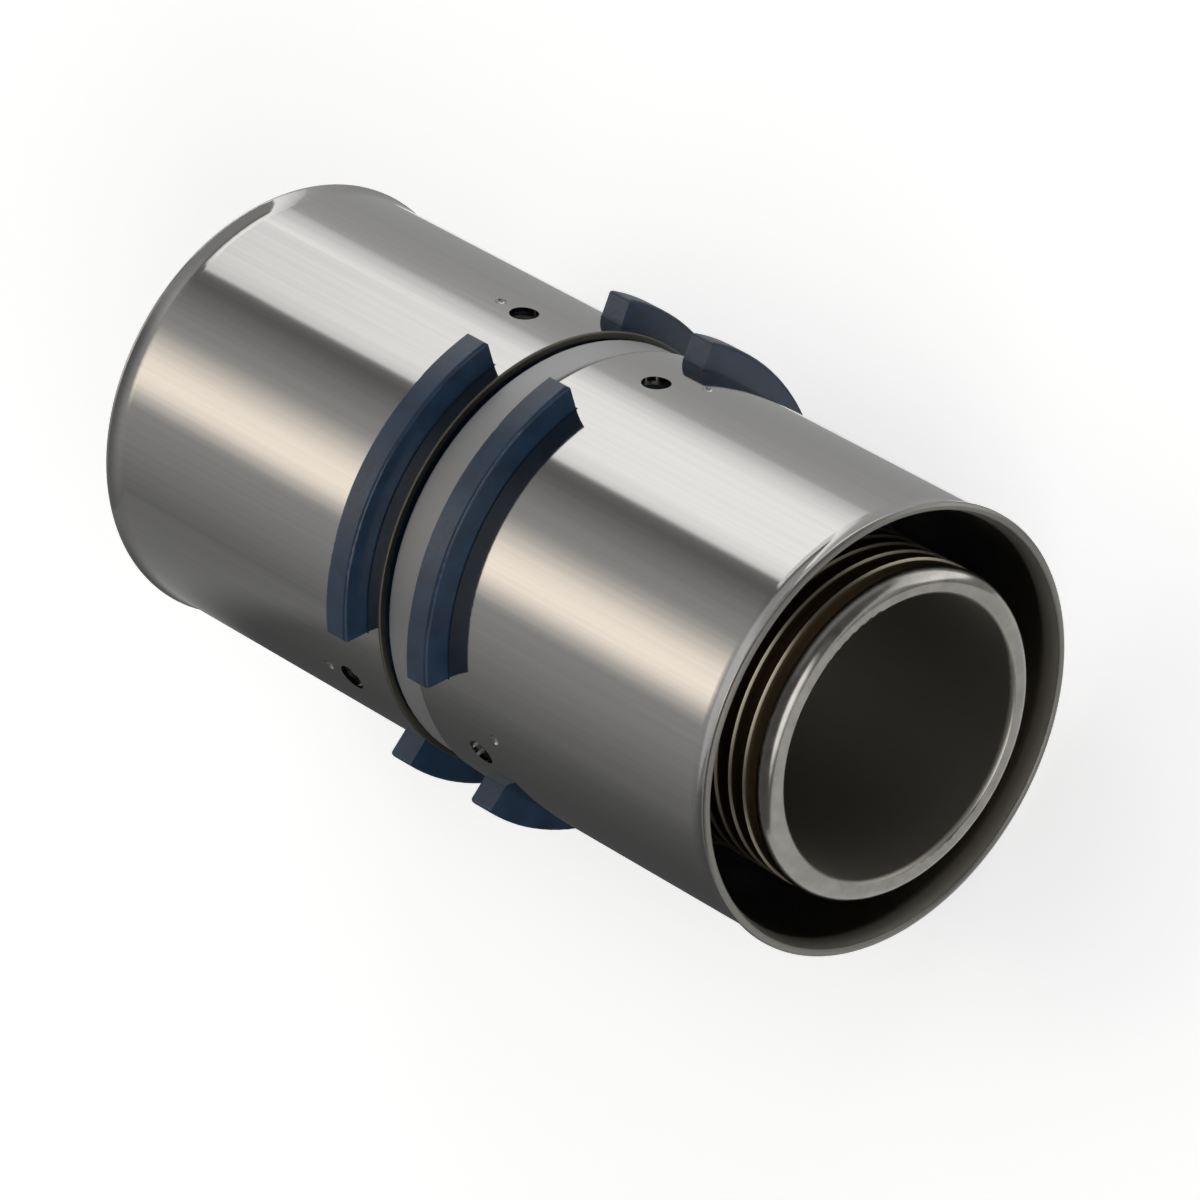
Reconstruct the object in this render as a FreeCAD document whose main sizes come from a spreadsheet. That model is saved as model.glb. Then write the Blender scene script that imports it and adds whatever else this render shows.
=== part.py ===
import FreeCAD, Part
import Sketcher
import os

# Straight press coupling for composite pipe of 50 mm outside and 41 mm inside diameter.
# X runs along the bore, +Z is up as the coupling lies on its lugs, and the origin is
# the middle of the bore. Lengths are in millimetres and angles in degrees.

doc = FreeCAD.newDocument("press_coupling")

sizes = {
    # radii, from the bore outwards
    "boreRadius": 17.2,
    "insertWall": 2.9,
    "pipeSpace": 5.7,
    "steel": 1.0,
    "lugHeight": 3.35,
    # fitting body: one turned piece, a centre collar with a ribbed insert on each side
    "collarHalf": 2.4,
    "collarDrop": 0.6,
    "collarRound": 0.4,
    "seatDepth": 0.5,
    "rootLand": 6.6,
    "noseLength": 2.0,
    "noseOuterRound": 1.9,
    "noseInnerRound": 0.8,
    # ribs that hold the pipe: sawtooth rings, steep on the side that faces the collar
    "ribPitch": 2.35,
    "ribDepth": 0.9,
    "ribSteep": 0.3,
    "ribCrest": 0.25,
    "ribBevel": 0.25,
    "innerRibs": 4,
    "outerRibs": 5,
    "outerLand": 4.6,
    # seals: O-rings in square grooves between the two groups of ribs
    "sealLand": 1.95,
    "sealCord": 2.4,
    "sealGrooveDepth": 1.6,
    "sealGrooveWidth": 3.1,
    "sealPitch": 7.0,
    "sealCount": 2,
    # press sleeve: a drawn steel tube, cut square at the collar and flared at the mouth
    "cutRound": 0.2,
    "noseProud": 2.5,
    "flareLength": 2.5,
    "flareRise": 0.6,
    "lipRound": 0.4,
    "holeLand": 2.6,
    "holeRadius": 1.75,
    "dimplePitch": 4.1,
    "dimpleRadius": 0.9,
    "dimpleDepth": 0.35,
    "dimpleTurnA": -9,
    "dimpleTurnB": 0,
    # stop ring: a plastic ring whose lugs stand out through the sleeve's windows
    "lugs": 3,
    "lugLand": 2.2,
    "lugWidth": 3.5,
    "lugSpan": 78,
    "lugRound": 0.4,
    "ringChamfer": 0.5,
    "shoulderLand": 0.8,
    "spigotStep": 3.2,
    # clearances
    "collarGap": 0.8,
    "ringGap": 0.15,
    "seatGap": 0.1,
    "windowGap": 0.15,
    "sealGap": 0.05,
}

sheet = doc.addObject("Spreadsheet::Sheet", "dim")
for row, (word, size) in enumerate(sizes.items(), start=1):
    sheet.set(f"A{row}", word)
    sheet.set(f"B{row}", str(size))
    sheet.setAlias(f"B{row}", word)
doc.recompute()

# radii that follow
insertRadius = "(dim.boreRadius + dim.insertWall)"
sleeveInner = f"({insertRadius} + dim.pipeSpace)"
sleeveRadius = f"({sleeveInner} + dim.steel)"
collarRadius = f"({sleeveRadius} - dim.collarDrop)"
lugRadius = f"({sleeveRadius} + dim.lugHeight)"
seatRadius = f"({insertRadius} - dim.seatDepth)"
grooveRadius = f"({insertRadius} - dim.sealGrooveDepth)"
ringInner = f"({seatRadius} + dim.seatGap)"
ringRadius = f"({sleeveInner} - dim.ringGap)"
spigotRadius = f"({ringRadius} - dim.spigotStep)"
sealRadius = f"({grooveRadius} + dim.sealGap + dim.sealCord / 2)"

# places along the bore, from the collar to the nose
sleeveStart = "(dim.collarHalf + dim.collarGap)"
ringShoulder = f"({sleeveStart} + dim.shoulderLand)"
lugStart = f"({sleeveStart} + dim.lugLand)"
lugEnd = f"({lugStart} + dim.lugWidth)"
seatEnd = f"({lugEnd} + dim.seatGap)"
innerRibStart = f"({seatEnd} + dim.rootLand)"
grooveStart = f"({innerRibStart} + dim.innerRibs * dim.ribPitch + dim.sealLand)"
grooveEnd = f"({grooveStart} + dim.sealGrooveWidth + (dim.sealCount - 1) * dim.sealPitch)"
outerRibStart = f"({grooveEnd} + dim.outerLand)"
noseStart = f"({outerRibStart} + dim.outerRibs * dim.ribPitch)"
noseTip = f"({noseStart} + dim.noseLength)"
lipPlace = f"({noseTip} - dim.noseProud)"
holePlace = f"({lugEnd} + dim.holeLand)"
dimplePlace = f"({holePlace} + dim.dimplePitch)"

# the flare is an arc that starts tangent to the tube, and the mouth is cut square to the sheet
flareStart = f"({lipPlace} - dim.flareLength)"
flareBend = "((dim.flareLength^2 + dim.flareRise^2) / (2 * dim.flareRise))"
flareGrowth = f"(1 + dim.steel / {flareBend})"
lipRadius = f"({sleeveRadius} + dim.flareRise)"
mouthPlace = f"({flareStart} + dim.flareLength * {flareGrowth})"
mouthRadius = f"({sleeveRadius} + {flareBend} - ({flareBend} - dim.flareRise) * {flareGrowth})"


def value(formula):
    result = sheet.evalExpression(formula)
    return float(getattr(result, "Value", result))


def makeBody(label):
    body = doc.addObject("PartDesign::Body", label)
    body.Label = label
    return body


def originPart(body, role):
    return next(item for item in body.Origin.OriginFeatures if item.Role == role)


def outline(body, name, corners, arcs=None):
    """A closed sketch in the XZ plane: x along the bore, y the distance from it.

    corners are pairs of formulas. arcs gives, for each side that is an arc, the radius
    and which of the side's two ends runs on tangent into its neighbour.
    """
    arcs = arcs or {}
    sketch = body.newObject("Sketcher::SketchObject", name)
    sketch.AttachmentSupport = [(originPart(body, "XZ_Plane"), "")]
    sketch.MapMode = "FlatFace"
    sketch.Visibility = False
    points = [FreeCAD.Vector(value(x), value(y), 0) for x, y in corners]
    count = len(points)

    for side, first in enumerate(points):
        last = points[(side + 1) % count]
        if side in arcs:
            radius, tangentEnd = arcs[side]
            foot = first if tangentEnd == "first" else last
            centre = foot + FreeCAD.Vector(0, value(radius), 0)
            outward = ((first + last) * 0.5 - centre).normalize()
            sketch.addGeometry(Part.Arc(first, centre + outward * value(radius), last))
        else:
            sketch.addGeometry(Part.LineSegment(first, last))

    def end(side, point):
        return 1 if sketch.getPoint(side, 1).distanceToPoint(point) < 1e-6 else 2

    for side in range(count):
        following = (side + 1) % count
        corner = points[following]
        runsOn = arcs.get(side, ("", ""))[1] == "last" or arcs.get(following, ("", ""))[1] == "first"
        sketch.addConstraint(
            Sketcher.Constraint(
                "Tangent" if runsOn else "Coincident",
                side, end(side, corner), following, end(following, corner),
            )
        )
    for side, (point, corner) in enumerate(zip(points, corners)):
        for kind, formula in zip(("DistanceX", "DistanceY"), corner):
            index = sketch.addConstraint(
                Sketcher.Constraint(kind, -1, 1, side, end(side, point), value(formula))
            )
            sketch.setExpression(f"Constraints[{index}]", formula)
    return sketch


def turned(body, name, kind, corners, span="360", arcs=None):
    """Revolve an outline round the bore, as a solid or a groove, half each side of +Z."""
    sketch = outline(body, name + "Outline", corners, arcs)
    feature = body.newObject(f"PartDesign::{kind}", name)
    feature.Profile = sketch
    feature.ReferenceAxis = (originPart(body, "X_Axis"), [""])
    feature.Midplane = True
    feature.setExpression("Angle", span)
    doc.recompute()
    return feature


def copiesAround(body, feature):
    pattern = body.newObject("PartDesign::PolarPattern", feature.Name + "Around")
    pattern.Originals = [feature]
    pattern.Axis = (originPart(body, "X_Axis"), [""])
    pattern.Angle = 360
    pattern.setExpression("Occurrences", "dim.lugs")
    body.Tip = pattern
    doc.recompute()


def copiesAlong(body, feature, count, pitch):
    pattern = body.newObject("PartDesign::LinearPattern", feature.Name + "Along")
    pattern.Originals = [feature]
    pattern.Direction = (originPart(body, "X_Axis"), [""])
    pattern.setExpression("Length", f"({count} - 1) * {pitch}")
    pattern.setExpression("Occurrences", count)
    body.Tip = pattern
    doc.recompute()


def rounded(body, name, radius, wanted):
    """Fillet the edges of the body so far that wanted() picks by their two end points."""
    base = body.Tip
    names = []
    for number, edge in enumerate(base.Shape.Edges, start=1):
        ends = (edge.firstVertex().Point, edge.lastVertex().Point)
        if wanted([(p.x, (p.y**2 + p.z**2) ** 0.5) for p in ends]):
            names.append(f"Edge{number}")
    fillet = body.newObject("PartDesign::Fillet", name)
    fillet.Base = (base, names)
    fillet.setExpression("Radius", radius)
    doc.recompute()


def onCircles(*circles):
    """A test for edges that lie on one of the circles, each a place and a radius."""
    targets = [(value(place), value(radius)) for place, radius in circles]

    def wanted(ends):
        return any(
            all(abs(x - place) < 1e-4 and abs(r - radius) < 1e-4 for x, r in ends)
            for place, radius in targets
        )

    return wanted


def radialCut(body, kind, name, place, reach, turn):
    """A cutting sphere or cylinder, its foot at a radius and turned round the bore from +Z."""
    tool = body.newObject(f"PartDesign::Subtractive{kind}", name)
    tool.Placement = FreeCAD.Placement(FreeCAD.Vector(), FreeCAD.Rotation(FreeCAD.Vector(1, 0, 0), 1))
    tool.setExpression("Placement.Rotation.Angle", f"{turn} * 1deg")
    tool.setExpression("Placement.Base.x", place)
    tool.setExpression("Placement.Base.y", f"-{reach} * sin({turn} * 1deg)")
    tool.setExpression("Placement.Base.z", f"{reach} * cos({turn} * 1deg)")
    return tool


def ribNotch(start):
    """The gap behind one rib crest: a bevel, a long ramp towards the nose, then a steep face."""
    end = f"({start} + dim.ribPitch)"
    top = f"({insertRadius} + dim.ribDepth)"
    return [
        (f"({start} + dim.ribCrest)", insertRadius),
        (f"({start} + dim.ribCrest + dim.ribBevel)", f"({insertRadius} - dim.ribBevel)"),
        (f"({end} - dim.ribSteep)", f"({insertRadius} - dim.ribDepth)"),
        (end, insertRadius),
        (end, top),
        (f"({start} + dim.ribCrest)", top),
    ]


def makeFittingBody():
    body = makeBody("fitting_body")
    turned(body, "Insert", "Revolution", [
        ("0", "dim.boreRadius"),
        (noseTip, "dim.boreRadius"),
        (noseTip, insertRadius),
        (seatEnd, insertRadius),
        (seatEnd, seatRadius),
        ("dim.collarHalf", seatRadius),
        ("dim.collarHalf", collarRadius),
        ("0", collarRadius),
    ])
    rounded(body, "NoseOuter", "dim.noseOuterRound", onCircles((noseTip, insertRadius)))
    rounded(body, "NoseInner", "dim.noseInnerRound", onCircles((noseTip, "dim.boreRadius")))
    rounded(body, "CollarEdge", "dim.collarRound", onCircles(("dim.collarHalf", collarRadius)))
    innerRib = turned(body, "InnerRib", "Groove", ribNotch(innerRibStart))
    copiesAlong(body, innerRib, "dim.innerRibs", "dim.ribPitch")
    outerRib = turned(body, "OuterRib", "Groove", ribNotch(outerRibStart))
    copiesAlong(body, outerRib, "dim.outerRibs", "dim.ribPitch")
    grooveSide = f"({grooveStart} + dim.sealGrooveWidth)"
    aboveInsert = f"({insertRadius} + dim.sealGrooveDepth)"
    sealGroove = turned(body, "SealGroove", "Groove", [
        (grooveStart, grooveRadius),
        (grooveSide, grooveRadius),
        (grooveSide, aboveInsert),
        (grooveStart, aboveInsert),
    ])
    copiesAlong(body, sealGroove, "dim.sealCount", "dim.sealPitch")
    otherHalf = body.newObject("PartDesign::Mirrored", "OtherHalf")
    otherHalf.TransformMode = "Whole shape"
    otherHalf.MirrorPlane = (originPart(body, "YZ_Plane"), [""])
    otherHalf.Refine = True
    body.Tip = otherHalf
    doc.recompute()
    return body


def makeSleeve(label, dimpleTurn):
    body = makeBody(label)
    turned(body, "Tube", "Revolution", [
        (sleeveStart, sleeveInner),
        (flareStart, sleeveInner),
        (mouthPlace, mouthRadius),
        (lipPlace, lipRadius),
        (flareStart, sleeveRadius),
        (sleeveStart, sleeveRadius),
    ], arcs={
        1: (f"({flareBend} + dim.steel)", "first"),
        3: (flareBend, "last"),
    })
    rounded(
        body, "CutEdges", "dim.cutRound",
        onCircles((sleeveStart, sleeveInner), (sleeveStart, sleeveRadius)),
    )
    rounded(
        body, "LipEdges", "dim.lipRound",
        onCircles((mouthPlace, mouthRadius), (lipPlace, lipRadius)),
    )
    belowSheet = f"({sleeveInner} - dim.steel)"
    aboveSheet = f"({sleeveRadius} + dim.steel)"
    window = turned(body, "Window", "Groove", [
        (f"({lugStart} - dim.windowGap)", belowSheet),
        (f"({lugEnd} + dim.windowGap)", belowSheet),
        (f"({lugEnd} + dim.windowGap)", aboveSheet),
        (f"({lugStart} - dim.windowGap)", aboveSheet),
    ], span=f"dim.lugSpan + 2 * dim.windowGap / {sleeveInner} * 180 / pi")
    copiesAround(body, window)

    hole = radialCut(body, "Cylinder", "InspectionHole", holePlace, belowSheet, "(180 / dim.lugs)")
    hole.setExpression("Radius", "dim.holeRadius")
    hole.setExpression("Height", "3 * dim.steel")
    doc.recompute()
    copiesAround(body, hole)

    dimple = radialCut(
        body, "Sphere", "Dimple", dimplePlace,
        f"({sleeveRadius} + dim.dimpleRadius - dim.dimpleDepth)",
        f"(180 / dim.lugs + {dimpleTurn})",
    )
    dimple.setExpression("Radius", "dim.dimpleRadius")
    doc.recompute()
    copiesAround(body, dimple)
    return body


def makeStopRing(label):
    body = makeBody(label)
    turned(body, "Ring", "Revolution", [
        ("(dim.collarHalf + dim.seatGap)", ringInner),
        (lugEnd, ringInner),
        (lugEnd, ringRadius),
        (f"({ringShoulder} + dim.ringChamfer)", ringRadius),
        (ringShoulder, f"({ringRadius} - dim.ringChamfer)"),
        (ringShoulder, spigotRadius),
        ("(dim.collarHalf + dim.seatGap)", spigotRadius),
    ])
    lug = turned(body, "Lug", "Revolution", [
        (lugStart, f"({ringRadius} - dim.ringChamfer)"),
        (lugEnd, f"({ringRadius} - dim.ringChamfer)"),
        (lugEnd, lugRadius),
        (lugStart, lugRadius),
    ], span="dim.lugSpan")
    copiesAround(body, lug)
    top = value(lugRadius)
    rounded(body, "LugEdges", "dim.lugRound", lambda ends: all(abs(r - top) < 1e-4 for _, r in ends))
    return body


def makeSeal(label, number, towards):
    """An O-ring in one groove, numbered from the collar; towards is 1 or -1 along the bore."""
    seal = doc.addObject("Part::Torus", label)
    seal.Label = label
    seal.setExpression("Radius1", sealRadius)
    seal.setExpression("Radius2", "dim.sealCord / 2")
    seal.Placement = FreeCAD.Placement(FreeCAD.Vector(), FreeCAD.Rotation(FreeCAD.Vector(0, 1, 0), 90))
    middle = f"({grooveStart} + dim.sealGrooveWidth / 2 + {number} * dim.sealPitch)"
    seal.setExpression("Placement.Base.x", f"{towards} * {middle}")
    return seal


# end a is built where it lies, and end b is the same pieces turned end for end
endForEnd = FreeCAD.Placement(FreeCAD.Vector(), FreeCAD.Rotation(FreeCAD.Vector(0, 0, 1), 180))
asBuilt = FreeCAD.Placement()
ends = (("a", 1, asBuilt, "dim.dimpleTurnA"), ("b", -1, endForEnd, "dim.dimpleTurnB"))

pieces = [makeFittingBody()]
for side, towards, place, dimpleTurn in ends:
    for body in (makeSleeve(f"press_sleeve_{side}", dimpleTurn), makeStopRing(f"stop_ring_{side}")):
        body.Placement = place
        pieces.append(body)
    for number in range(int(sizes["sealCount"])):
        pieces.append(makeSeal(f"seal_{side}_{number + 1}", number, towards))
doc.recompute()

for item in doc.Objects:
    if "Invalid" in item.State or "Error" in item.State:
        raise RuntimeError(f"{item.Name} did not build: {item.State}")

os.makedirs("parts", exist_ok=True)
for piece in pieces:
    shape = piece.Shape
    if shape.isNull() or not shape.isValid() or len(shape.Solids) != 1:
        raise RuntimeError(f"{piece.Label} is not one valid solid")
    shape.exportStep(f"parts/{piece.Label}.step")
    print(f"{piece.Label}: {shape.Volume:.1f} mm3, {len(shape.Faces)} faces")
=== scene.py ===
import math

import bpy
from mathutils import Matrix, Vector


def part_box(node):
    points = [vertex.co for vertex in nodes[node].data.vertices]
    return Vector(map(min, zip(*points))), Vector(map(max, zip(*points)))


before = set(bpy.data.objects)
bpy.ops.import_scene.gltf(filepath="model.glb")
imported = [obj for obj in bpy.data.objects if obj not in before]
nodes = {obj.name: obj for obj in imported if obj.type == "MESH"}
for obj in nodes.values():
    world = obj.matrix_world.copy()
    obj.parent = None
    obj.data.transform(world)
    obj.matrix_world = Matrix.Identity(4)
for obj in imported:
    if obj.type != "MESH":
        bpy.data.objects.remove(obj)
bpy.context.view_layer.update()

print("frame loaded")

mm = 0.001
floorHeight = min(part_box(name)[0][2] for name in nodes)


# colours and nodes

def linear(hexColour):  # "#rrggbb" in sRGB to linear RGBA
    channels = [int(hexColour[i:i + 2], 16) / 255 for i in (1, 3, 5)]
    return [c / 12.92 if c <= 0.04045 else ((c + 0.055) / 1.055) ** 2.4 for c in channels] + [1.0]


# adds a node with its settings; an input is a value, a socket, or a node, whose first output
# then feeds it
def addNode(tree, kind, settings=None, inputs=None):
    node = tree.nodes.new("ShaderNode" + kind)
    for name, setting in (settings or {}).items():
        setattr(node, name, setting)
    for name, source in (inputs or {}).items():
        if isinstance(source, bpy.types.Node):
            source = source.outputs[0]
        if isinstance(source, bpy.types.NodeSocket):
            tree.links.new(source, node.inputs[name])
        else:
            node.inputs[name].default_value = source
    return node


multiply = {"operation": "MULTIPLY"}
smooth = {"interpolation_type": "SMOOTHSTEP"}


def newMaterial(name):
    material = bpy.data.materials.new(name)
    material.use_nodes = True
    material.node_tree.nodes.clear()
    return material, material.node_tree


def pointInMillimetres(tree):
    place = addNode(tree, "TexCoord").outputs["Object"]
    return addNode(tree, "VectorMath", {"operation": "SCALE"}, {0: place, "Scale": 1 / mm})


# where a point lies on a piece turned on the bore's axis, in millimetres
def turnedPlace(tree):
    point = pointInMillimetres(tree)
    axes = addNode(tree, "SeparateXYZ", None, {0: point})
    offAxis = addNode(tree, "CombineXYZ", None, {"Y": axes.outputs["Y"], "Z": axes.outputs["Z"]})
    radius = addNode(tree, "VectorMath", {"operation": "LENGTH"}, {0: offAxis}).outputs["Value"]
    along = addNode(tree, "Math", {"operation": "ABSOLUTE"}, {0: axes.outputs["X"]})
    rings = addNode(tree, "CombineXYZ", None, {"X": axes.outputs["X"], "Y": radius})
    return {"point": point, "along": along, "radius": radius, "rings": rings}


# a cloudy pattern from 0 to 1 whose grains are so many millimetres long in x, y and z; the span
# is how much of the noise's range becomes 0 to 1, so a smaller one has harder edges
def grains(tree, point, size, detail=2.0, span=0.3):
    scaled = addNode(tree, "VectorMath", multiply, {0: point, 1: [1 / length for length in size]})
    clouds = addNode(tree, "TexNoise", None, {"Vector": scaled, "Scale": 1.0, "Detail": detail})
    return addNode(tree, "MapRange", None, {
        "Value": clouds, "From Min": 0.5 - span / 2, "From Max": 0.5 + span / 2,
    })


# camera: the photograph's view, a long lens from the near end, turned on its side
camera = {
    "aim": (3.5, -3.0, -2.8),  # mm
    "azimuth": 6.07,
    "elevation": 48.2,
    "roll": -69.13,
    "distance": 1018.7,  # mm
    "lens": 265.2,
    "sensor": 36.0,
    "clipEnd": 20.0,  # m
}


def addCamera():
    aim = Vector(camera["aim"]) * mm
    turn, rise = math.radians(camera["azimuth"]), math.radians(camera["elevation"])
    level = math.cos(rise)
    away = Vector((level * math.cos(turn), level * math.sin(turn), math.sin(rise)))
    data = bpy.data.cameras.new("camera")
    data.lens = camera["lens"]
    data.sensor_width = camera["sensor"]
    data.sensor_fit = "HORIZONTAL"
    data.clip_end = camera["clipEnd"]
    view = bpy.data.objects.new("camera", data)
    bpy.context.scene.collection.objects.link(view)
    upright = away.to_track_quat("Z", "Y").to_matrix().to_4x4()
    rolled = upright @ Matrix.Rotation(math.radians(camera["roll"]), 4, "Z")
    view.matrix_world = Matrix.Translation(aim + away * camera["distance"] * mm) @ rolled
    bpy.context.scene.camera = view


# studio: soft panels high above the floor that lie along the bore. Each is given by its angle in
# degrees from straight up (plus is towards -Y) and by its reach along the bore as a direction
# cosine; edges and fades are how wide its borders are
studio = {
    "room": 0.18,
    "panels": {
        "window": {"angle": (-125, -44), "edges": (2, 3), "reach": (-0.78, -0.56),
                   "fades": (0.04, 0.08), "colour": "#ffffff", "strength": 1.30},
        "windowGlow": {"angle": (-95, -47), "edges": (45, 18), "reach": (-0.70, -0.56),
                       "fades": (0.08, 0.08), "colour": "#ffffff", "strength": 0.76},
        "curtain": {"angle": (-43, -38), "edges": (2, 3), "reach": (-0.95, -0.3),
                    "fades": (0.06, 0.06), "colour": "#ffffff", "strength": 0.05},
        "wall": {"angle": (-27, 66), "edges": (40, 95), "reach": (-1.2, -0.3),
                 "fades": (0.06, 0.6), "colour": "#ffffff", "strength": 0.46},
        "warmLamp": {"angle": (1, 28), "edges": (28, 19), "reach": (-0.76, -0.56),
                     "fades": (0.12, 0.1), "colour": "#ffefdc", "strength": 1.78},
        "backWall": {"angle": (-150, 100), "edges": (40, 60), "reach": (-1.2, -0.84),
                     "fades": (0.1, 0.1), "colour": "#ffffff", "strength": 0.42},
        "upperWall": {"angle": (-125, -10), "edges": (30, 30), "reach": (-0.5, 0.25),
                      "fades": (0.12, 0.4), "colour": "#ffffff", "strength": 0.30},
        "topLight": {"angle": (-22, 62), "edges": (14, 40), "reach": (0.70, 0.97),
                     "fades": (0.12, 0.12), "colour": "#ffffff", "strength": 2.6},
    },
}


def addStudio():
    world = bpy.data.worlds.new("studio")
    world.use_nodes = True
    tree = world.node_tree
    tree.nodes.clear()
    bpy.context.scene.world = world
    direction = addNode(tree, "TexCoord").outputs["Generated"]
    axes = addNode(tree, "SeparateXYZ", None, {0: direction})
    reach = axes.outputs["X"]
    up = axes.outputs["Z"]
    towardsMinusY = addNode(tree, "Math", multiply, {0: axes.outputs["Y"], 1: -1.0})
    radians = addNode(tree, "Math", {"operation": "ARCTAN2"}, {0: towardsMinusY, 1: up})
    angle = addNode(tree, "Math", {"operation": "DEGREES"}, {0: radians})
    total = addNode(tree, "CombineXYZ", None, {axis: studio["room"] for axis in "XYZ"})
    for panel in studio["panels"].values():
        level = panel["strength"]
        for source, span, edges in ((angle, "angle", "edges"), (reach, "reach", "fades")):
            (start, end), (startWidth, endWidth) = panel[span], panel[edges]
            for border, width in ((start, startWidth), (end, -endWidth)):
                inside = addNode(tree, "MapRange", smooth, {
                    "Value": source, "From Min": border - width / 2, "From Max": border + width / 2,
                })
                level = addNode(tree, "Math", multiply, {0: level, 1: inside})
        tint = linear(panel["colour"])[:3]
        tinted = addNode(tree, "VectorMath", {"operation": "SCALE"}, {0: tint, "Scale": level})
        total = addNode(tree, "VectorMath", {"operation": "ADD"}, {0: total, 1: tinted})
    background = addNode(tree, "Background", None, {"Color": total, "Strength": 1.0})
    addNode(tree, "OutputWorld", None, {"Surface": background})


# cards that stand, lean or lie near the coupling, out of the picture, which only the metal sees,
# for they light nothing and cast no shadow: bright ones at the +Y side, painted highlights, over a
# grey one on the floor, the floor painted darker towards the coupling as shade, and two dark ones,
# one under the coupling and one that leans away from it at the -Y side, the coupling's shadow on
# the floor painted. Each goes from a foot to a head, both
# as y and z, over a span of x. It glows from the first level at its foot to the second where it
# is full, a share of its height, evenly where its curve is 1. A side, where it has one, is
# another level that it fades to between two places along x
cards = {
    # painted highlight: a glowing board that lights nothing and shows only as a reflection in the
    # sleeves
    "paintedHighlightStrip": {"x": (-420, -40), "foot": (205, -27.5), "head": (206, 32),
              "levels": (1.1, 2.15), "full": 1, "curve": 1},
    # painted highlight: a glowing board that lights nothing and shows only as a reflection on the
    # nose
    "paintedNoseHighlight": {"x": (55, 100), "foot": (46, -27.4), "head": (62, 8),
                  "levels": (2.5, 1.3), "full": 1, "curve": 1},
    # painted shade: the floor as the metal sees it, grey and darker towards the coupling
    "paintedFloorShade": {"x": (-1500, 300), "foot": (31, -27.7), "head": (1500, -27.6),
                 "levels": (0.33, 0.85), "full": 0.12, "curve": 0.5},
    # painted shadow: a dark sheet under the coupling that only reflections show, the floor's shade
    # there
    "paintedUnderShadow": {"x": (-420, 50), "foot": (10, -27.6), "head": (-33, -27.4),
                  "levels": (0.07, 0.07), "full": 1, "curve": 1},
    # painted shadow: darkest at its foot by the coupling and lighter past x = -62 mm, the
    # coupling's shadow on the floor as the metal sees it
    "paintedSideShadow": {"x": (-420, 50), "foot": (-33, -27.4), "head": (-100, 31),
                 "levels": (0.07, 0.32), "full": 1, "curve": 1.5,
                 "side": {"x": (-62, -82), "level": 0.33}},
}


def addCards():
    for name, card in cards.items():
        (x0, x1), (low, high) = card["x"], card["levels"]
        foot, head = (Vector((0, *card[end])) * mm for end in ("foot", "head"))
        left, right = Vector((x0 * mm, 0, 0)), Vector((x1 * mm, 0, 0))
        mesh = bpy.data.meshes.new(name)
        mesh.from_pydata([foot + left, foot + right, head + right, head + left], [], [(0, 1, 2, 3)])
        board = bpy.data.objects.new(name, mesh)
        bpy.context.scene.collection.objects.link(board)
        board.visible_camera = board.visible_diffuse = board.visible_shadow = False
        material, tree = newMaterial(name)
        place = addNode(tree, "TexCoord").outputs["Object"]
        fromFoot = addNode(tree, "VectorMath", {"operation": "SUBTRACT"}, {0: place, 1: foot})
        upward = (head - foot) / (head - foot).length_squared
        dot = addNode(tree, "VectorMath", {"operation": "DOT_PRODUCT"}, {0: fromFoot, 1: upward})
        height = dot.outputs["Value"]
        share = addNode(tree, "MapRange", None, {"Value": height, "From Max": card["full"]})
        curved = addNode(tree, "Math", {"operation": "POWER"}, {0: share, 1: card["curve"]})
        level = addNode(tree, "MapRange", None, {"Value": curved, "To Min": low, "To Max": high})
        if "side" in card:
            start, end = (x * mm for x in card["side"]["x"])
            faded = addNode(tree, "MapRange", smooth, {
                "Value": addNode(tree, "SeparateXYZ", None, {0: place}),
                "From Min": start, "From Max": end,
            })
            level = addNode(tree, "Mix", None, {0: faded, 2: level, 3: card["side"]["level"]})
        glow = addNode(tree, "Emission", None, {"Color": linear("#ffffff"), "Strength": level})
        addNode(tree, "OutputMaterial", None, {"Surface": glow})
        mesh.materials.append(material)


# matt paper, which the camera and the metal see as white while the shadows on it stay
floor = {"radius": 12.0, "corners": 96, "colour": "#e9e9e9", "whitening": 0.58}


def addFloor():
    bpy.ops.mesh.primitive_circle_add(
        vertices=floor["corners"], radius=floor["radius"], fill_type="NGON",
        location=(0, 0, floorHeight),
    )
    ground = bpy.context.object
    ground.name = "floor"
    material, tree = newMaterial("floorPaper")
    rays = addNode(tree, "LightPath").outputs
    seen = rays["Is Camera Ray"]
    for kind in ("Is Glossy Ray", "Is Transmission Ray"):
        seen = addNode(tree, "Math", {"operation": "MAXIMUM"}, {0: seen, 1: rays[kind]})
    strength = addNode(tree, "Math", multiply, {0: seen, 1: floor["whitening"]})
    paper = addNode(tree, "BsdfDiffuse", None, {"Color": linear(floor["colour"])})
    white = addNode(tree, "Emission", None, {"Color": linear("#ffffff"), "Strength": strength})
    surface = addNode(tree, "AddShader", None, {0: paper, 1: white})
    addNode(tree, "OutputMaterial", None, {"Surface": surface})
    ground.data.materials.append(material)


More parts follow.
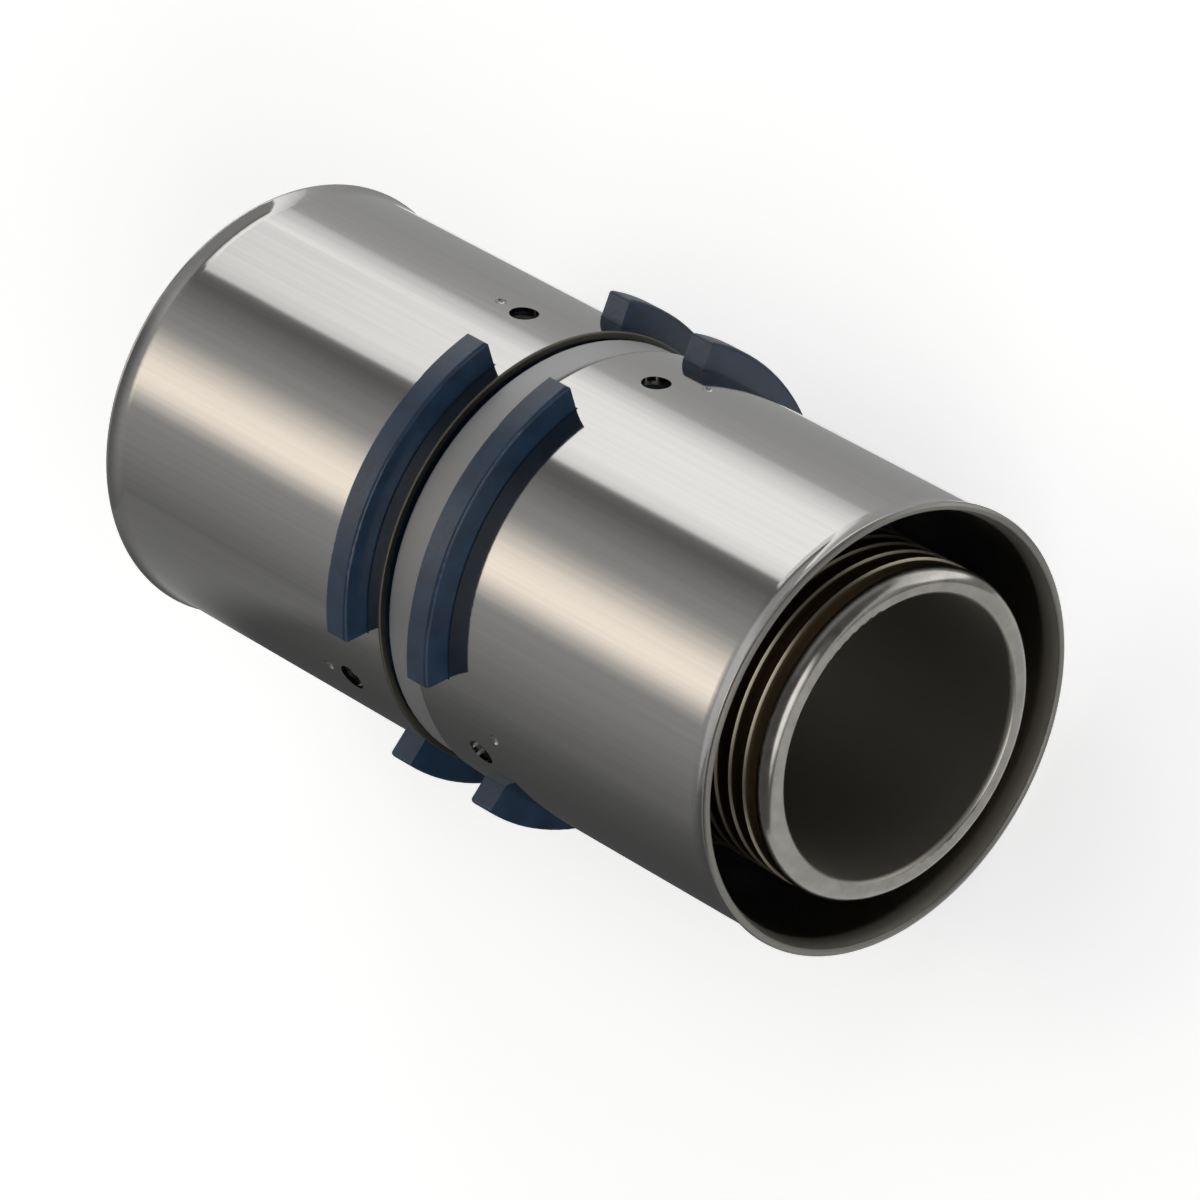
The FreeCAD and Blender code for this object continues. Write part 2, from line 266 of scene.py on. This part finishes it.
# press sleeves: stainless steel tube, drawn and bright annealed, which leaves a soft mirror
# with faint draw lines along the tube; the inside keeps the duller skin of the draw, rubbed matt
# where the flare was rolled, and the two ends are sawn and deburred, so they are matt and darker
sleeve = {
    "colours": ("#9b9a98", "#9f9e9c"),
    "roughness": (0.070, 0.085),
    # patterns, sizes and depths in mm. Real draw lines are 0.05 mm wide, drawn coarser so they
    # show; the flats are the tube's own, and hardly visible
    "drawLine": {"size": (60, 0.45, 0.45), "detail": 3.0},
    "drawDepth": 0.00004,
    "flat": {"size": (22, 8, 8), "detail": 1.0, "span": 1.0},
    "flatDepth": 0.018,
    # the flare's arc starts this far along the bore, and its rise grows with the square of the way
    "flareStart": 50.4,  # mm
    "flareRise": 0.096,  # mm at the first mm
    # finishes by place: where each one starts, in mm, and how wide its border is
    "inside": {"radius": 26.3, "border": 0.2, "colour": "#a5a29c", "roughness": 0.28},
    "mouth": {"along": 50.6, "border": 0.6, "colour": "#b4b2ad", "roughness": 0.45},
    "lip": {"along": 52.8, "border": 0.2, "colour": "#76746f", "roughness": 0.45},
    "cutEnd": {"along": 3.5, "border": 0.1, "colour": "#6d6961", "roughness": 0.5},
}


def drawnStainless():
    material, tree = newMaterial("drawnStainless")
    place = turnedPlace(tree)
    lines = grains(tree, place["point"], **sleeve["drawLine"])
    flats = grains(tree, place["point"], **sleeve["flat"])
    first, second = (linear(colour) for colour in sleeve["colours"])
    colour = addNode(tree, "MixRGB", None, {"Fac": lines, "Color1": first, "Color2": second})
    low, high = sleeve["roughness"]
    roughness = addNode(tree, "MapRange", None, {"Value": lines, "To Min": low, "To Max": high})
    inside, mouth, lip, cutEnd = (sleeve[name] for name in ("inside", "mouth", "lip", "cutEnd"))
    along, radius = place["along"], place["radius"]
    past = addNode(tree, "Math", {"operation": "SUBTRACT"}, {0: along, 1: sleeve["flareStart"]})
    inFlare = addNode(tree, "Math", {"operation": "MAXIMUM"}, {0: past, 1: 0.0})
    squared = addNode(tree, "Math", multiply, {0: inFlare, 1: inFlare})
    rise = addNode(tree, "Math", multiply, {0: squared, 1: sleeve["flareRise"]})
    unflared = addNode(tree, "Math", {"operation": "SUBTRACT"}, {0: radius, 1: rise})
    atInside = addNode(tree, "MapRange", smooth, {
        "Value": unflared, "From Min": inside["radius"] + inside["border"] / 2,
        "From Max": inside["radius"] - inside["border"] / 2,
    })
    nearLip = addNode(tree, "MapRange", smooth, {
        "Value": along, "From Min": mouth["along"], "From Max": mouth["along"] + mouth["border"],
    })
    atMouth = addNode(tree, "Math", multiply, {0: nearLip, 1: atInside})
    atLip = addNode(tree, "MapRange", smooth, {
        "Value": along, "From Min": lip["along"], "From Max": lip["along"] + lip["border"],
    })
    atCutEnd = addNode(tree, "MapRange", smooth, {
        "Value": along, "From Min": cutEnd["along"], "From Max": cutEnd["along"] - cutEnd["border"],
    })
    for where, finish in ((atInside, inside), (atMouth, mouth), (atLip, lip), (atCutEnd, cutEnd)):
        there = linear(finish["colour"])
        colour = addNode(tree, "MixRGB", None, {"Fac": where, "Color1": colour, "Color2": there})
        roughness = addNode(tree, "Mix", None, {0: where, 2: roughness, 3: finish["roughness"]})
    wavy = addNode(tree, "Bump", None, {"Height": flats, "Distance": sleeve["flatDepth"] * mm})
    normal = addNode(tree, "Bump", None, {
        "Height": lines, "Distance": sleeve["drawDepth"] * mm, "Normal": wavy,
    })
    shader = addNode(tree, "BsdfPrincipled", None, {
        "Base Color": colour, "Metallic": 1.0, "Roughness": roughness, "Normal": normal,
    })
    addNode(tree, "OutputMaterial", None, {"Surface": shader})
    return material


# fitting body: brass turned on a lathe and tinned. The nose is bright and a little cloudy, the
# collar has the matt grey of tin as it leaves the bath, and between the ribs the colour goes to a
# dark brown, the brown of brass together with painted shade in the grooves
body = {
    "noseColours": ("#84827d", "#918f8a"),
    "noseRoughness": (0.17, 0.22),
    # patterns, sizes and depths in mm. The turning marks are of 0.1 mm feed, drawn coarser so
    # they show
    "cloud": {"size": (1.4, 2.2, 2.2), "detail": 4.0},
    "ring": {"size": (0.3, 0.3, 60), "span": 1.0},
    "ringDepth": 0.0008,
    # finishes by place: where each one starts, in mm, and how wide its border is
    # the valleys' dark brown is partly brass and partly painted shade in the grooves
    "ribs": {"end": 53.45, "valley": 19.6, "crest": 20.1, "roughness": 0.3,
             "valleyBrassAndShade": "#443827", "crestColour": "#807a6c"},
    "collar": {"end": 2.7, "foot": 22.0, "colour": "#aaaaaa", "roughness": 0.62},
    "bore": {"radius": 17.6, "border": 0.25, "colour": "#96928a", "roughness": 0.5},
}


def tinnedBrass():
    material, tree = newMaterial("tinnedBrass")
    place = turnedPlace(tree)
    marks = grains(tree, place["rings"], **body["ring"])
    clouds = grains(tree, place["point"], **body["cloud"])
    ribs, collar, bore = body["ribs"], body["collar"], body["bore"]
    first, second = (linear(colour) for colour in body["noseColours"])
    colour = addNode(tree, "MixRGB", None, {"Fac": clouds, "Color1": first, "Color2": second})
    low, high = body["noseRoughness"]
    roughness = addNode(tree, "MapRange", None, {"Value": clouds, "To Min": low, "To Max": high})

    along, radius = place["along"], place["radius"]
    height = addNode(tree, "MapRange", smooth, {
        "Value": radius, "From Min": ribs["valley"], "From Max": ribs["crest"],
    })
    # painted shade: the rib colour darkens from crest to valley, partly the brown of brass and
    # partly painted shade in the grooves
    valley, crest = linear(ribs["valleyBrassAndShade"]), linear(ribs["crestColour"])
    ribbed = addNode(tree, "MixRGB", None, {"Fac": height, "Color1": valley, "Color2": crest})
    onRibs = addNode(tree, "Math", {"operation": "LESS_THAN"}, {0: along, 1: ribs["end"]})
    nearMiddle = addNode(tree, "Math", {"operation": "LESS_THAN"}, {0: along, 1: collar["end"]})
    farOut = addNode(tree, "Math", {"operation": "GREATER_THAN"}, {0: radius, 1: collar["foot"]})
    onCollar = addNode(tree, "Math", multiply, {0: nearMiddle, 1: farOut})
    inBore = addNode(tree, "MapRange", smooth, {
        "Value": radius, "From Min": bore["radius"], "From Max": bore["radius"] - bore["border"],
    })
    for where, finish, roughnessThere in (
        (onRibs, ribbed, ribs["roughness"]),
        (onCollar, linear(collar["colour"]), collar["roughness"]),
        (inBore, linear(bore["colour"]), bore["roughness"]),
    ):
        colour = addNode(tree, "MixRGB", None, {"Fac": where, "Color1": colour, "Color2": finish})
        roughness = addNode(tree, "Mix", None, {0: where, 2: roughness, 3: roughnessThere})
    normal = addNode(tree, "Bump", None, {"Height": marks, "Distance": body["ringDepth"] * mm})
    shader = addNode(tree, "BsdfPrincipled", None, {
        "Base Color": colour, "Metallic": 1.0, "Roughness": roughness, "Normal": normal,
    })
    addNode(tree, "OutputMaterial", None, {"Surface": shader})
    return material


# stop rings: blue polyamide, injection moulded in an eroded tool, which gives a satin skin with a
# fine grain and slightly cloudy colour
stopRing = {
    "colours": ("#152c43", "#1b3853"),
    "roughness": (0.32, 0.42),
    "ior": 1.53,
    # patterns, sizes and depths in mm. The tool's grain is about 0.1 mm, drawn coarser so it shows
    "cloud": {"size": (2.6, 2.6, 2.6), "detail": 3.0},
    "grain": {"size": (0.3, 0.3, 0.3)},
    "grainDepth": 0.0015,
}


def bluePolyamide():
    material, tree = newMaterial("bluePolyamide")
    point = pointInMillimetres(tree)
    clouds = grains(tree, point, **stopRing["cloud"])
    grain = grains(tree, point, **stopRing["grain"])
    first, second = (linear(colour) for colour in stopRing["colours"])
    colour = addNode(tree, "MixRGB", None, {"Fac": clouds, "Color1": first, "Color2": second})
    low, high = stopRing["roughness"]
    roughness = addNode(tree, "MapRange", None, {"Value": grain, "To Min": low, "To Max": high})
    normal = addNode(tree, "Bump", None, {"Height": grain, "Distance": stopRing["grainDepth"] * mm})
    shader = addNode(tree, "BsdfPrincipled", None, {
        "Base Color": colour, "Roughness": roughness, "IOR": stopRing["ior"], "Normal": normal,
    })
    addNode(tree, "OutputMaterial", None, {"Surface": shader})
    return material


# seals: black EPDM rubber, press moulded, matt with a faint bloom
seal = {
    "colours": ("#121212", "#1f1f1e"),
    "roughness": (0.55, 0.75),
    "bloom": {"size": (1.5, 1.5, 1.5), "detail": 3.0},  # mm
}


def blackRubber():
    material, tree = newMaterial("blackRubber")
    bloom = grains(tree, pointInMillimetres(tree), **seal["bloom"])
    first, second = (linear(colour) for colour in seal["colours"])
    colour = addNode(tree, "MixRGB", None, {"Fac": bloom, "Color1": first, "Color2": second})
    low, high = seal["roughness"]
    roughness = addNode(tree, "MapRange", None, {"Value": bloom, "To Min": low, "To Max": high})
    shader = addNode(tree, "BsdfPrincipled", None, {"Base Color": colour, "Roughness": roughness})
    addNode(tree, "OutputMaterial", None, {"Surface": shader})
    return material


def dress(material, *names):
    for name in names:
        nodes[name].material_slots[0].material = material


addCamera()
addFloor()
addStudio()
addCards()
print("stage set")
dress(drawnStainless(), "press_sleeve_a", "press_sleeve_b")
dress(tinnedBrass(), "fitting_body")
dress(bluePolyamide(), "stop_ring_a", "stop_ring_b")
dress(blackRubber(), "seal_a_1", "seal_a_2", "seal_b_1", "seal_b_2")
print("pieces dressed")

bpy.context.scene.view_settings.view_transform = "Standard"
